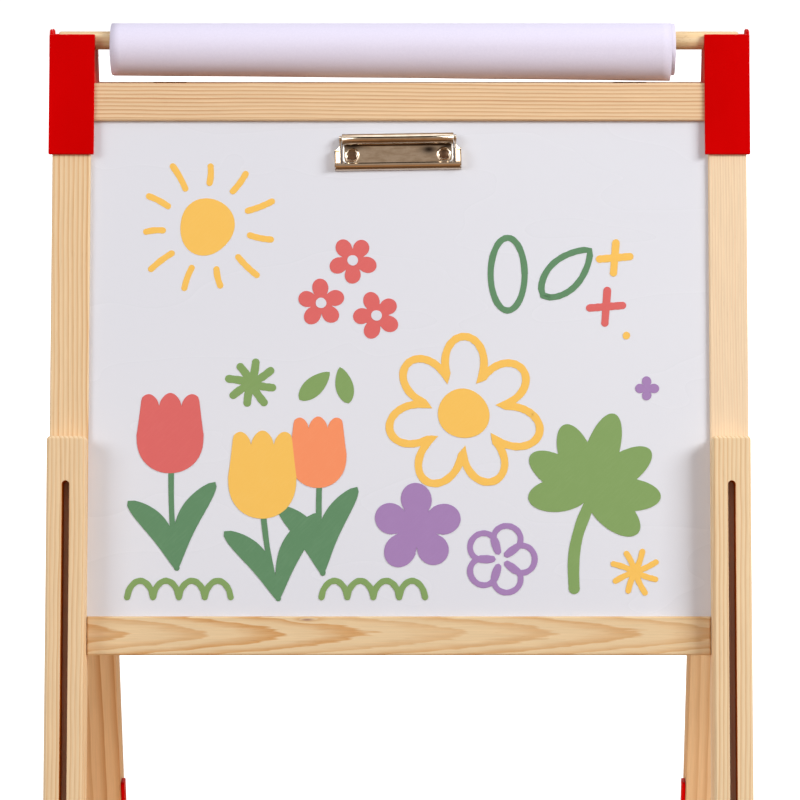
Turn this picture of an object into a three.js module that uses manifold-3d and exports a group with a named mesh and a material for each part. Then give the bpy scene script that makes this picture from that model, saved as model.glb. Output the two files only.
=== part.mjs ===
// A child's double-sided play easel: two pine frames hinged together at the top as an A,
// a whiteboard in front and a chalkboard behind, slotted legs that slide for height,
// moulded brackets that cradle a paper roll on a dowel, a spring clip and folding stays.
//
// Units are millimetres, +Z is up and the front (whiteboard) faces -Y. The origin is on the
// floor under the middle. Each half is drawn upright in its own coordinates and then leaned:
// there x is across, z is up from the fold axis, and y is minus the distance "out" from the
// fold plane. A distance "down" is measured along the frame from the top edge of the top rail.

import * as THREE from 'three';
import { mergeVertices } from 'three/addons/utils/BufferGeometryUtils.js';
import Module from 'manifold-3d';

const wasm = await Module();
wasm.setup();

// ---------------------------------------------------------------- driving dimensions

const GAP = 0.3; // clearance between pieces that touch
const LEAN_DEGREES = 12;

const TIMBER_WIDTH = 30.5;
const STILE_OUTER = 276; // half the width over the stiles
const STILE_THICKNESS = 15;
const STILE_LENGTH = 700;
const LEG_THICKNESS = 18;
const TIMBER_ROUND = 1; // rounding along the timber's edges
const LEG_ROUND = 2;
const INNER_FACE = 2; // from the fold plane to a frame's inner face
const AXIS_ABOVE_RAIL = 1.4;

const RAIL_HEIGHT = 30.5;
const BOTTOM_RAIL_DOWN = 424;
const BOARD_THICKNESS = 3.5;
const BOARD_SETBACK = 4; // from the frame's outer face to the board's face
const GROOVE_DEPTH = 5;

const LEG_TOP_DOWN = 283;
const LEG_END_DOWN = 900;
const LEG_CORNER = 3;
const SLOT_WIDTH = 6;
const SLOT_TOP_DOWN = 318;
const BOLT_RADIUS = 2.5;
const BOLT_HEAD_RADIUS = 6.5;
const BOLT_HEAD_HEIGHT = 2.3;
const BOLT_DOWN = 650; // at rest the bolt is at the slot's lower end, so the easel is lowest

const FOOT_HEIGHT = 26;
const FOOT_WALL = 2;
const FOOT_SOLE = 3;

const BRACKET_WALL = 2.5;
const BRACKET_UP = 38.5;
const BRACKET_DOWN = 58;
const BRACKET_CLEAR = 0.8; // from a cheek's back edge to the fold plane
const CHEEK_RAKE = 7; // a cheek's lower edge rises this much towards the back
const EAR_RISE = 5.2; // the outer cheek stands this far above the front plate

const ROD_RADIUS = 7.2;
const ROD_LENGTH = 543;
const ROD_SHIFT = -0.8;
const ROD_HEIGHT = 35.2; // the rod's axis above the fold axis
const CORE_BORE = 14.7;
const CORE_WALL = 2;
const ROLL_RADIUS = 21;
const ROLL_LENGTH = 450;
const ROLL_SHIFT = -5.2; // the roll sits a little off centre on its rod

const HINGE_SPACING = 184.1;
const HINGE_WIDTH = 27;
const HINGE_LEAF = 22;
const KNUCKLE_RADIUS = 2.4;

const STAY_DOWN = 671; // the stay's end pivots, down the stile
const STAY_WIDTH = 15;
const STAY_THICKNESS = 2.9;
const PIVOT_RADIUS = 2;
const PIVOT_HEAD = 4.5;
const STAY_PLATE_TOP = 621;
const STAY_PLATE_END = 689;
const STAY_SCREW_REACH = 8; // a pivot's shank goes this far into the stile

// ---------------------------------------------------------------- derived places

const LEAN = THREE.MathUtils.degToRad(LEAN_DEGREES);
const STILE_INNER = STILE_OUTER - TIMBER_WIDTH;
const TIMBER_MIDDLE = STILE_OUTER - TIMBER_WIDTH / 2;
const SLOT_END_DOWN = BOLT_DOWN + SLOT_WIDTH / 2;
const OUTER_FACE = INNER_FACE + STILE_THICKNESS;
const LEG_FACE = OUTER_FACE + GAP + LEG_THICKNESS;
const LEG_MIDDLE = OUTER_FACE + GAP + LEG_THICKNESS / 2;
const STAY_OUT = INNER_FACE + STILE_THICKNESS / 2;
const BOARD_FACE = OUTER_FACE - BOARD_SETBACK;

const height = (down) => -AXIS_ABOVE_RAIL - down;

// Where a leg's middle line meets the floor, the fold axis is this far above it.
const AXIS_HEIGHT = -(LEG_MIDDLE * Math.sin(LEAN) + height(LEG_END_DOWN) * Math.cos(LEAN));
// Half the distance between the front and rear stay pivots, which is one link's length.
const STAY_LINK = STAY_OUT * Math.cos(LEAN) - height(STAY_DOWN) * Math.sin(LEAN);

// ---------------------------------------------------------------- materials

const paint = (color, roughness, metalness = 0) =>
  new THREE.MeshStandardMaterial({ color, roughness, metalness });

const pine = paint(0xebc79b, 0.6);
const beech = paint(0xe6c79c, 0.55);
const redPlastic = paint(0xc80404, 0.35);
const whiteSurface = paint(0xe2e0e4, 0.25);
const chalkSurface = paint(0x2b302d, 0.9);
const paper = paint(0xf1eafa, 0.85);
const cardboard = paint(0xb08a5c, 0.9);
const nickel = paint(0xc9c0b4, 0.2, 1);
const brass = paint(0xa07a3c, 0.35, 1);
const steel = paint(0x9c9c9c, 0.35, 1);
const rubber = paint(0x2a2a2c, 0.8);

// ---------------------------------------------------------------- solids

function solid(geometry) {
  const bare = geometry.clone();
  bare.deleteAttribute('normal');
  bare.deleteAttribute('uv');
  const merged = mergeVertices(bare, 1e-4);
  const vertProperties = new Float32Array(merged.attributes.position.array);
  const triVerts = new Uint32Array(merged.index.array);
  let body = new wasm.Manifold(new wasm.Mesh({ numProp: 3, vertProperties, triVerts }));
  if (body.volume() < 0) {
    triVerts.reverse();
    body = new wasm.Manifold(new wasm.Mesh({ numProp: 3, vertProperties, triVerts }));
  }
  return body;
}

function cut(body, ...tools) {
  return tools.reduce((rest, tool) => rest.subtract(tool), body);
}

function join(first, ...others) {
  return others.reduce((whole, other) => whole.add(other), first);
}

function mesh(name, body, material) {
  const { vertProperties, triVerts } = body.getMesh();
  const geometry = new THREE.BufferGeometry();
  geometry.setAttribute('position', new THREE.BufferAttribute(new Float32Array(vertProperties), 3));
  geometry.setIndex(new THREE.BufferAttribute(new Uint32Array(triVerts), 1));
  geometry.computeVertexNormals();
  const result = new THREE.Mesh(geometry, material);
  result.name = name;
  return result;
}

// A rectangle between two x values and two z values, with rounded corners.
function panel(x0, x1, z0, z1, corner = 0) {
  const [left, right] = [Math.min(x0, x1), Math.max(x0, x1)];
  const [low, high] = [Math.min(z0, z1), Math.max(z0, z1)];
  const shape = new THREE.Shape();
  if (corner === 0) {
    shape.moveTo(left, low).lineTo(right, low).lineTo(right, high).lineTo(left, high);
    return shape;
  }
  shape.moveTo(left + corner, low);
  shape.absarc(right - corner, low + corner, corner, -Math.PI / 2, 0);
  shape.absarc(right - corner, high - corner, corner, 0, Math.PI / 2);
  shape.absarc(left + corner, high - corner, corner, Math.PI / 2, Math.PI);
  shape.absarc(left + corner, low + corner, corner, Math.PI, Math.PI * 1.5);
  return shape;
}

function extrusion(shape, thickness, round, curveSegments) {
  const geometry = new THREE.ExtrudeGeometry(shape, {
    depth: thickness - 2 * round,
    bevelEnabled: round > 0,
    bevelThickness: round,
    bevelSize: round,
    bevelOffset: -round,
    bevelSegments: 1,
    curveSegments,
  });
  return geometry.translate(0, 0, round);
}

// An outline in x and z, made thick between two distances out from the fold plane.
function slab(shape, out0, out1, round = 0, curveSegments = 3) {
  const geometry = extrusion(shape, out1 - out0, round, curveSegments);
  geometry.rotateX(Math.PI / 2);
  return solid(geometry.translate(0, -out0, 0));
}

// An outline in y and z, made thick from x0 to x1.
function sideSlab(shape, x0, x1, round = 0, curveSegments = 3) {
  const geometry = extrusion(shape, Math.abs(x1 - x0), round, curveSegments);
  const turn = new THREE.Matrix4().makeBasis(
    new THREE.Vector3(0, 1, 0), new THREE.Vector3(0, 0, 1), new THREE.Vector3(1, 0, 0));
  geometry.applyMatrix4(turn);
  return solid(geometry.translate(Math.min(x0, x1), 0, 0));
}

function block(x0, x1, out0, out1, z0, z1) {
  return slab(panel(x0, x1, z0, z1), out0, out1);
}

// A turned solid whose axis runs out from the fold plane. Profile points are [radius, out].
function turnedOut(profile, x, z, sides = 16) {
  const points = profile.map(([radius, out]) => new THREE.Vector2(radius, out));
  const geometry = new THREE.LatheGeometry(points, sides);
  geometry.rotateX(Math.PI);
  return solid(geometry.translate(x, 0, z));
}

// A turned solid whose axis runs across. Profile points are [radius, x].
function turnedAcross(profile, y, z, sides = 16) {
  const points = profile.map(([radius, along]) => new THREE.Vector2(radius, along));
  const geometry = new THREE.LatheGeometry(points, sides);
  geometry.rotateZ(-Math.PI / 2);
  return solid(geometry.translate(0, y, z));
}

function tubeAcross(inner, outer, x0, x1, y, z, sides = 16) {
  const profile = [[inner, x0], [outer, x0], [outer, x1], [inner, x1], [inner, x0]];
  return turnedAcross(profile, y, z, sides);
}

function rodAcross(radius, x0, x1, y, z, sides = 12) {
  const [start, end] = [Math.min(x0, x1), Math.max(x0, x1)];
  return turnedAcross([[0, start], [radius, start], [radius, end], [0, end]], y, z, sides);
}

// ---------------------------------------------------------------- timber

const boardGroove = (x0, x1, z0, z1) =>
  block(x0, x1, BOARD_FACE - BOARD_THICKNESS - GAP, BOARD_FACE + GAP, z0, z1);

const boardTop = height(RAIL_HEIGHT - GROOVE_DEPTH);
const boardBottom = height(BOTTOM_RAIL_DOWN + GROOVE_DEPTH);

function stile(name, side) {
  const outline = panel(side * STILE_INNER, side * STILE_OUTER, height(STILE_LENGTH), height(0));
  const groove = boardGroove(side * (STILE_INNER - 1), side * (STILE_INNER + GROOVE_DEPTH + GAP),
    boardBottom - GAP, boardTop + GAP);
  const x = side * TIMBER_MIDDLE;
  const recess = BOLT_HEAD_RADIUS + GAP;
  const recessEnd = INNER_FACE + BOLT_HEAD_HEIGHT + 2 * GAP;
  const boltHole = turnedOut([
    [0, INNER_FACE - 1], [recess, INNER_FACE - 1], [recess, recessEnd],
    [BOLT_RADIUS + GAP, recessEnd], [BOLT_RADIUS + GAP, OUTER_FACE + 1], [0, OUTER_FACE + 1],
  ], x, height(BOLT_DOWN), 12);
  const stayHole = rodAcross(PIVOT_RADIUS + GAP, side * (STILE_INNER - 1),
    side * (STILE_INNER + STAY_SCREW_REACH + 1), -STAY_OUT, height(STAY_DOWN), 10);
  const timber = slab(outline, INNER_FACE, OUTER_FACE, TIMBER_ROUND);
  return mesh(name, cut(timber, groove, boltHole, stayHole), pine);
}

function rail(name, topDown, grooveStart, grooveEnd) {
  const reach = STILE_INNER - GAP;
  const outline = panel(-reach, reach, height(topDown + RAIL_HEIGHT), height(topDown));
  const groove = boardGroove(-reach - 1, reach + 1, grooveStart, grooveEnd);
  return mesh(name, cut(slab(outline, INNER_FACE, OUTER_FACE, TIMBER_ROUND), groove), pine);
}

function board(name, material, rivets) {
  const reach = STILE_INNER + GROOVE_DEPTH;
  const outline = panel(-reach, reach, boardBottom, boardTop);
  const sheet = slab(outline, BOARD_FACE - BOARD_THICKNESS, BOARD_FACE);
  const holes = rivets.map(({ x, z }) =>
    turnedOut([[0, INNER_FACE], [RIVET_HOLE, INNER_FACE], [RIVET_HOLE, OUTER_FACE], [0, OUTER_FACE]],
      x, z, 12));
  return mesh(name, cut(sheet, ...holes), material);
}

// Everything lower than a given height over the floor, in a leaning half's coordinates.
function groundUpTo(level) {
  const geometry = new THREE.BoxGeometry(800, 800, 200);
  geometry.translate(0, 0, level - AXIS_HEIGHT - 100);
  return solid(geometry.rotateX(LEAN));
}

const LEG_OVERRUN = 20; // trimmed off level with the floor

function leg(name, side) {
  const outline = panel(side * STILE_INNER, side * STILE_OUTER,
    height(LEG_END_DOWN + LEG_OVERRUN), height(LEG_TOP_DOWN), LEG_CORNER);
  const middle = side * TIMBER_MIDDLE;
  const slot = panel(middle - SLOT_WIDTH / 2, middle + SLOT_WIDTH / 2,
    height(SLOT_END_DOWN), height(SLOT_TOP_DOWN), SLOT_WIDTH / 2 - 0.01);
  const timber = slab(outline, OUTER_FACE + GAP, LEG_FACE, LEG_ROUND);
  return mesh(name, cut(timber, slab(slot, OUTER_FACE, LEG_FACE + GAP, 0, 4), groundUpTo(FOOT_SOLE)),
    pine);
}

function foot(name, side) {
  const wall = FOOT_WALL + GAP;
  const top = height(LEG_END_DOWN - FOOT_HEIGHT);
  const bottom = height(LEG_END_DOWN + LEG_OVERRUN);
  const shell = slab(
    panel(side * (STILE_INNER - wall), side * (STILE_OUTER + wall), bottom, top, LEG_CORNER),
    OUTER_FACE + GAP - wall, LEG_FACE + wall, TIMBER_ROUND, 2);
  const pocket = block(side * (STILE_INNER - GAP), side * (STILE_OUTER + GAP),
    OUTER_FACE, LEG_FACE + GAP, bottom - 1, top + 1);
  return mesh(name, cut(shell, cut(pocket, groundUpTo(FOOT_SOLE - GAP)), groundUpTo(0)), rubber);
}

// ---------------------------------------------------------------- bracket and roll

// A point given upright, relative to the fold axis, in a leaning half's coordinates.
const leaned = (y, z) => [
  y * Math.cos(LEAN) - z * Math.sin(LEAN),
  y * Math.sin(LEAN) + z * Math.cos(LEAN),
];

const plateMiddle = OUTER_FACE + GAP + BRACKET_WALL / 2;
const CHEEK_ROUND = 1;

function outerCheek(x0, x1) {
  const top = height(-BRACKET_UP);
  const ear = top + EAR_RISE;
  const shape = new THREE.Shape();
  shape.moveTo(-plateMiddle, height(BRACKET_DOWN - 1));
  shape.lineTo(-BRACKET_CLEAR, height(BRACKET_DOWN - CHEEK_RAKE));
  shape.lineTo(-BRACKET_CLEAR, 0);
  shape.lineTo(...leaned(-BRACKET_CLEAR, top * 0.8));
  shape.quadraticCurveTo(-0.55 * plateMiddle, ear, -0.75 * plateMiddle, ear);
  shape.quadraticCurveTo(-plateMiddle, ear, -plateMiddle, top);
  return sideSlab(shape, x0, x1, CHEEK_ROUND, 4);
}

function innerCheek(x0, x1) {
  const cradle = ROD_RADIUS + GAP;
  const dip = ROD_HEIGHT - Math.sqrt(cradle ** 2 - BRACKET_CLEAR ** 2);
  const top = height(-BRACKET_UP);
  const [centreY, centreZ] = leaned(0, ROD_HEIGHT);
  const lift = (top + cradle * Math.sin(LEAN)) / Math.cos(LEAN);
  const shape = new THREE.Shape();
  shape.moveTo(-plateMiddle, height(-GAP));
  shape.lineTo(-BRACKET_CLEAR, height(-GAP));
  shape.lineTo(...leaned(-BRACKET_CLEAR, dip));
  const start = Math.atan2(dip - ROD_HEIGHT, -BRACKET_CLEAR) + LEAN;
  shape.absarc(centreY, centreZ, cradle, start, -Math.PI + LEAN, true);
  shape.lineTo(...leaned(-cradle, lift));
  shape.lineTo(-plateMiddle, top);
  return sideSlab(shape, x0, x1, 0, 7);
}

function bracket(name, side) {
  const outer = STILE_OUTER + GAP + BRACKET_WALL;
  const inner = STILE_INNER - GAP - BRACKET_WALL;
  const plate = slab(
    panel(side * inner, side * outer, height(BRACKET_DOWN), height(-BRACKET_UP), 1),
    OUTER_FACE + GAP, OUTER_FACE + GAP + BRACKET_WALL, 0.6, 2);
  const web = block(side * (inner + 1), side * (outer - 1), INNER_FACE + 1, plateMiddle,
    height(-GAP), height(-GAP - BRACKET_WALL));
  const cheeks = [
    outerCheek(side * (outer - BRACKET_WALL), side * outer),
    innerCheek(side * inner, side * (inner + BRACKET_WALL)),
  ];
  return mesh(name, join(plate, web, ...cheeks), redPlastic);
}

function rollRod() {
  const start = ROD_SHIFT - ROD_LENGTH / 2;
  const end = ROD_SHIFT + ROD_LENGTH / 2;
  const profile = [[0, start], [ROD_RADIUS - 1, start], [ROD_RADIUS, start + 1],
    [ROD_RADIUS, end - 1], [ROD_RADIUS - 1, end], [0, end]];
  return mesh('roll_rod', turnedAcross(profile, 0, AXIS_HEIGHT + ROD_HEIGHT, 24), beech);
}

function paperRoll() {
  const start = ROLL_SHIFT - ROLL_LENGTH / 2;
  const end = ROLL_SHIFT + ROLL_LENGTH / 2;
  // The core hangs on the rod, so its axis is lower than the rod's.
  const axis = AXIS_HEIGHT + ROD_HEIGHT - (CORE_BORE - ROD_RADIUS - GAP);
  const core = tubeAcross(CORE_BORE, CORE_BORE + CORE_WALL, start, end, 0, axis, 24);
  const sheets = tubeAcross(CORE_BORE + CORE_WALL + GAP, ROLL_RADIUS, start, end, 0, axis, 32);
  return [mesh('paper_roll', sheets, paper), mesh('paper_core', core, cardboard)];
}

// ---------------------------------------------------------------- fold hinges

const HINGE_PLATE = [0.7, 1.7]; // a leaf lies between these distances out
const KNUCKLE_BORE = 1.3;
const KNUCKLES = 3;
const KNUCKLE_STEP = HINGE_WIDTH / KNUCKLES;

// A leaf holds every second knuckle, from the first or from the second one.
function hingeLeaf(name, x, firstKnuckle) {
  const start = x - HINGE_WIDTH / 2;
  const shoulder = -KNUCKLE_RADIUS - GAP;
  let leaf = slab(panel(start, start + HINGE_WIDTH, -HINGE_LEAF, shoulder, 1.5), ...HINGE_PLATE, 0, 2);
  for (let knuckle = firstKnuckle; knuckle < KNUCKLES; knuckle += 2) {
    const from = start + knuckle * KNUCKLE_STEP + GAP / 2;
    const to = from + KNUCKLE_STEP - GAP;
    const bore = rodAcross(KNUCKLE_BORE, from - 1, to + 1, 0, 0, 10);
    const barrel = rodAcross(KNUCKLE_RADIUS, from, to, 0, 0, 14);
    const tongue = block(from, to, ...HINGE_PLATE, shoulder - 1.6, 0);
    leaf = join(leaf, cut(join(barrel, tongue), bore));
  }
  return mesh(name, leaf, brass);
}

function hingePin(name, x) {
  const reach = HINGE_WIDTH / 2;
  return mesh(name, rodAcross(KNUCKLE_BORE - GAP, x - reach, x + reach, 0, 0, 10), steel);
}

// ---------------------------------------------------------------- height clamps

const KNOB_RADIUS = 16.6;
const KNOB_HEIGHT = 15;
const KNOB_LOBES = 6;
const BOLT_END = LEG_FACE + 11;

function clampBolt(name, side) {
  const head = INNER_FACE + GAP;
  const neck = head + BOLT_HEAD_HEIGHT;
  const profile = [[0, head], [0.68 * BOLT_HEAD_RADIUS, head + 0.2],
    [BOLT_HEAD_RADIUS, head + 1.2], [BOLT_HEAD_RADIUS, neck],
    [BOLT_RADIUS, neck], [BOLT_RADIUS, BOLT_END], [0, BOLT_END]];
  return mesh(name, turnedOut(profile, side * TIMBER_MIDDLE, height(BOLT_DOWN), 14), steel);
}

// A lobed hand knob, drawn about its own axis and set on the bolt by its position.
function clampKnob(name, side) {
  const shape = new THREE.Shape();
  const steps = KNOB_LOBES * 6;
  for (let step = 0; step < steps; step += 1) {
    const angle = (step / steps) * 2 * Math.PI;
    const radius = KNOB_RADIUS - 1.4 * (1 + Math.cos(angle * KNOB_LOBES));
    const point = [radius * Math.cos(angle), radius * Math.sin(angle)];
    if (step === 0) shape.moveTo(...point);
    else shape.lineTo(...point);
  }
  const foot = LEG_FACE + GAP;
  const body = slab(shape, foot, foot + KNOB_HEIGHT, 1.6);
  const bore = turnedOut([[0, foot - 1], [BOLT_RADIUS + GAP, foot - 1],
    [BOLT_RADIUS + GAP, BOLT_END + GAP], [0, BOLT_END + GAP]], 0, 0, 12);
  const knob = mesh(name, cut(body, bore), redPlastic);
  knob.position.set(side * TIMBER_MIDDLE, 0, height(BOLT_DOWN));
  return knob;
}

// ---------------------------------------------------------------- folding stays

const PLATE_THICKNESS = 3;
const PLATE_X = STILE_INNER - GAP; // the mounting plate's outer face
const NEAR_LANE = PLATE_X - PLATE_THICKNESS - GAP; // a front link's outer face
const FAR_LANE = NEAR_LANE - STAY_THICKNESS - 0.4; // a rear link's outer face

function lane(isFront) {
  return isFront ? NEAR_LANE : FAR_LANE;
}

// The plate on the stile's inner side; a rear one has a boss that reaches the far lane.
function stayPlate(name, side, isFront) {
  const half = STAY_WIDTH / 2 - 1;
  const outline = panel(-STAY_OUT - half, -STAY_OUT + half,
    height(STAY_PLATE_END), height(STAY_PLATE_TOP), 3);
  const inner = side * (PLATE_X - PLATE_THICKNESS);
  const plate = sideSlab(outline, inner, side * PLATE_X, 0, 2);
  const z = height(STAY_DOWN);
  const boss = rodAcross(half - 0.5, side * (PLATE_X - 1), side * (lane(isFront) + GAP),
    -STAY_OUT, z);
  const bore = rodAcross(PIVOT_RADIUS + GAP, side * (FAR_LANE - 5), side * (PLATE_X + 1),
    -STAY_OUT, z, 10);
  return mesh(name, cut(join(plate, boss), bore), redPlastic);
}

// A link is drawn level from its pivot towards the fold plane, so it stands level when
// the easel is open and the two links of a stay are in line.
function stayLink(name, side, isFront) {
  const shape = new THREE.Shape();
  const radius = STAY_WIDTH / 2;
  shape.absarc(0, 0, radius, Math.PI / 2, Math.PI * 1.5);
  shape.absarc(STAY_LINK, 0, radius, -Math.PI / 2, Math.PI / 2);
  for (const [along, hole] of [[0, PIVOT_RADIUS + GAP], [STAY_LINK, PIVOT_RADIUS + 2 * GAP]]) {
    shape.holes.push(new THREE.Path().absarc(along, 0, hole, 0, 2 * Math.PI));
  }
  const outer = lane(isFront);
  const body = sideSlab(shape, side * (outer - STAY_THICKNESS), side * outer, 0, 6);
  const link = mesh(name, body, redPlastic);
  link.position.set(0, -STAY_OUT, height(STAY_DOWN));
  link.rotation.x = LEAN;
  return link;
}

function stayPivot(name, side, isFront) {
  const headEnd = lane(isFront) - STAY_THICKNESS - GAP;
  const z = height(STAY_DOWN);
  const head = rodAcross(PIVOT_HEAD, side * (headEnd - 1.8), side * headEnd, -STAY_OUT, z, 12);
  const shank = rodAcross(PIVOT_RADIUS, side * (headEnd - 1),
    side * (STILE_INNER + STAY_SCREW_REACH), -STAY_OUT, z, 10);
  return mesh(name, join(head, shank), steel);
}

// The middle rivet stays with the rear link and stops short of the front one.
function stayRivet(name, side) {
  const inner = FAR_LANE - STAY_THICKNESS - GAP;
  const head = rodAcross(PIVOT_HEAD, side * (inner - 1.6), side * inner, STAY_LINK, 0, 12);
  const shank = rodAcross(PIVOT_RADIUS, side * (inner - 1), side * FAR_LANE, STAY_LINK, 0, 10);
  const rivet = mesh(name, join(head, shank), steel);
  rivet.position.set(0, -STAY_OUT, height(STAY_DOWN));
  rivet.rotation.x = LEAN;
  return rivet;
}

// ---------------------------------------------------------------- paper clip

const CLIP_X = -1.1;
const CLIP_DOWN = 57.7; // its rivets, down the board
const CLIP_TURN = THREE.MathUtils.degToRad(-0.9);
const CLIP_RIVET = 36.6;
const CLIP_HALF = 44.3;
const JAW_HALF = 50.3;
const JAW_ARM = 4.6;
const JAW_ARM_TOP = 5;
const EAR_START = 44.6; // the ears that turn on the axle, just past the barrel's ends
const EAR_END = 46.8;
const EAR_RADIUS = 3;
const PAN_BOTTOM = -7.8;
const LIP_BOTTOM = -12.2;
const BARREL_UP = 12.3;
const BARREL_OUT = 4.9;
const BARREL_RADIUS = 4.4;
const BARREL_BORE = 3.3;
const AXLE_RADIUS = 1.5;
const RIVET_HOLE = 2.4;

const clipRivets = [-1, 1].map((side) => ({
  x: CLIP_X + side * CLIP_RIVET * Math.cos(CLIP_TURN),
  z: height(CLIP_DOWN) - side * CLIP_RIVET * Math.sin(CLIP_TURN),
}));

// The riveted pan: a flat plate with a raised rim, and a rolled barrel along its top.
function clipBase() {
  const plate = slab(panel(-CLIP_HALF, CLIP_HALF, PAN_BOTTOM, BARREL_UP, 3), 0, 1);
  const rimOutline = panel(-CLIP_HALF, CLIP_HALF, PAN_BOTTOM, BARREL_UP, 3);
  rimOutline.holes.push(panel(-CLIP_HALF + 2, CLIP_HALF - 2, PAN_BOTTOM + 2, BARREL_UP - 2, 2));
  const rim = slab(rimOutline, 0.5, 2.4);
  const barrel = rodAcross(BARREL_RADIUS, -CLIP_HALF, CLIP_HALF, -BARREL_OUT, BARREL_UP, 18);
  const bore = rodAcross(BARREL_BORE, -CLIP_HALF - 1, CLIP_HALF + 1, -BARREL_OUT, BARREL_UP, 16);
  const holes = [-1, 1].map((side) =>
    turnedOut([[0, -1], [RIVET_HOLE, -1], [RIVET_HOLE, 4], [0, 4]], side * CLIP_RIVET, 0, 12));
  return mesh('clip_base', cut(join(plate, rim, barrel), bore, ...holes), nickel);
}

// The sprung jaw: an arm at each end of the axle, and a curved lip that holds the paper.
function clipJaw() {
  const arms = [-1, 1].map((side) => {
    const arm = panel(-BARREL_OUT - EAR_RADIUS, -0.4, LIP_BOTTOM + 2, JAW_ARM_TOP, 2.2);
    const ear = panel(-BARREL_OUT - EAR_RADIUS, -BARREL_OUT + EAR_RADIUS,
      JAW_ARM_TOP - 4, BARREL_UP + EAR_RADIUS, EAR_RADIUS - 0.01);
    return join(sideSlab(arm, side * (JAW_HALF - JAW_ARM), side * JAW_HALF),
      sideSlab(ear, side * EAR_START, side * EAR_END, 0, 5));
  });
  const lipShape = new THREE.Shape();
  lipShape.moveTo(-0.4, LIP_BOTTOM);
  lipShape.lineTo(-0.4, LIP_BOTTOM + 1.2);
  lipShape.quadraticCurveTo(-3.6, LIP_BOTTOM + 1.4, -3.8, PAN_BOTTOM - GAP);
  lipShape.lineTo(-4.9, PAN_BOTTOM - GAP);
  lipShape.quadraticCurveTo(-4.7, LIP_BOTTOM + 0.2, -0.4, LIP_BOTTOM);
  const lip = sideSlab(lipShape, -JAW_HALF + 0.5, JAW_HALF - 0.5, 0, 4);
  const bore = rodAcross(AXLE_RADIUS + GAP, -JAW_HALF - 1, JAW_HALF + 1, -BARREL_OUT, BARREL_UP, 12);
  return mesh('clip_jaw', cut(join(lip, ...arms), bore), nickel);
}

function clipAxle() {
  return mesh('clip_axle',
    rodAcross(AXLE_RADIUS, -EAR_END, EAR_END, -BARREL_OUT, BARREL_UP, 12), steel);
}

class Coil extends THREE.Curve {
  constructor(radius, length, turns) {
    super();
    Object.assign(this, { radius, length, turns });
  }

  getPoint(t) {
    const angle = t * this.turns * 2 * Math.PI;
    return new THREE.Vector3((t - 0.5) * this.length,
      this.radius * Math.cos(angle), this.radius * Math.sin(angle));
  }
}

function clipSpring() {
  const turns = 5;
  const wire = new THREE.Shape().absarc(0, 0, 0.4, 0, 2 * Math.PI);
  const geometry = new THREE.ExtrudeGeometry(wire, {
    extrudePath: new Coil((AXLE_RADIUS + BARREL_BORE) / 2, 22, turns),
    steps: turns * 10,
    curveSegments: 3,
  });
  return mesh('clip_spring', solid(geometry.translate(0, -BARREL_OUT, BARREL_UP)), steel);
}

function clipRivet(name, side) {
  const back = -BOARD_THICKNESS - 2 * GAP;
  const profile = [[0, back - 1], [4, back - 1], [4, back], [2, back], [2, 1 + GAP], [5.5, 1 + GAP],
    [5.3, 2.3], [4.3, 3], [3.4, 2.4], [3, 1.9], [0, 1.9]];
  return mesh(name, turnedOut(profile, side * CLIP_RIVET, 0, 16), nickel);
}

function clip() {
  const group = new THREE.Group();
  group.add(clipBase(), clipJaw(), clipAxle(), clipSpring());
  group.add(clipRivet('clip_rivet_left', -1), clipRivet('clip_rivet_right', 1));
  group.position.set(CLIP_X, -BOARD_FACE - GAP, height(CLIP_DOWN));
  group.rotation.y = CLIP_TURN;
  return group;
}

// ---------------------------------------------------------------- halves and assembly

// The rear half is the same timber turned about the upright, so its sides swap over.
function half(name, firstKnuckle) {
  const isFront = name === 'front';
  const group = new THREE.Group();
  group.rotation.x = -LEAN;
  group.position.z = AXIS_HEIGHT;
  group.add(
    rail(`${name}_top_rail`, 0, height(RAIL_HEIGHT) - 1, boardTop + GAP),
    rail(`${name}_bottom_rail`, BOTTOM_RAIL_DOWN, boardBottom - GAP, height(BOTTOM_RAIL_DOWN) + 1));
  for (const side of [-1, 1]) {
    const where = (side < 0) === isFront ? 'left' : 'right';
    group.add(
      stile(`${name}_${where}_stile`, side),
      leg(`${name}_${where}_leg`, side),
      foot(`${name}_${where}_foot`, side),
      bracket(`${name}_${where}_bracket`, side),
      clampBolt(`${name}_${where}_bolt`, side),
      clampKnob(`${name}_${where}_knob`, side),
      stayPlate(`${name}_${where}_stay_plate`, side, isFront),
      stayLink(`${name}_${where}_stay_link`, side, isFront),
      stayPivot(`${name}_${where}_stay_pivot`, side, isFront),
      hingeLeaf(`${where}_hinge_${name}_leaf`, side * HINGE_SPACING, firstKnuckle));
  }
  return group;
}

const easel = new THREE.Group();

const front = half('front', 0);
front.add(board('whiteboard', whiteSurface, clipRivets), clip());
front.add(hingePin('left_hinge_pin', -HINGE_SPACING), hingePin('right_hinge_pin', HINGE_SPACING));

const rear = half('rear', 1);
rear.add(board('chalkboard', chalkSurface, []));
rear.add(stayRivet('right_stay_rivet', -1), stayRivet('left_stay_rivet', 1));

const turned = new THREE.Group();
turned.rotation.z = Math.PI;
turned.add(rear);

easel.add(front, turned, rollRod(), ...paperRoll());

export default easel;
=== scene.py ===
"""Looks for the child's double-sided play easel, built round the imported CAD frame.

Lengths in the shape code are millimetres in a half-frame's own coordinates, as in the CAD:
x across, y minus the distance out from the fold plane, z up from the fold axis. The matrix
HALF["front"] or HALF["rear"] leans them into place, in metres.
"""

import math

import bmesh
import bpy
from mathutils import Matrix, Vector

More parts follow.
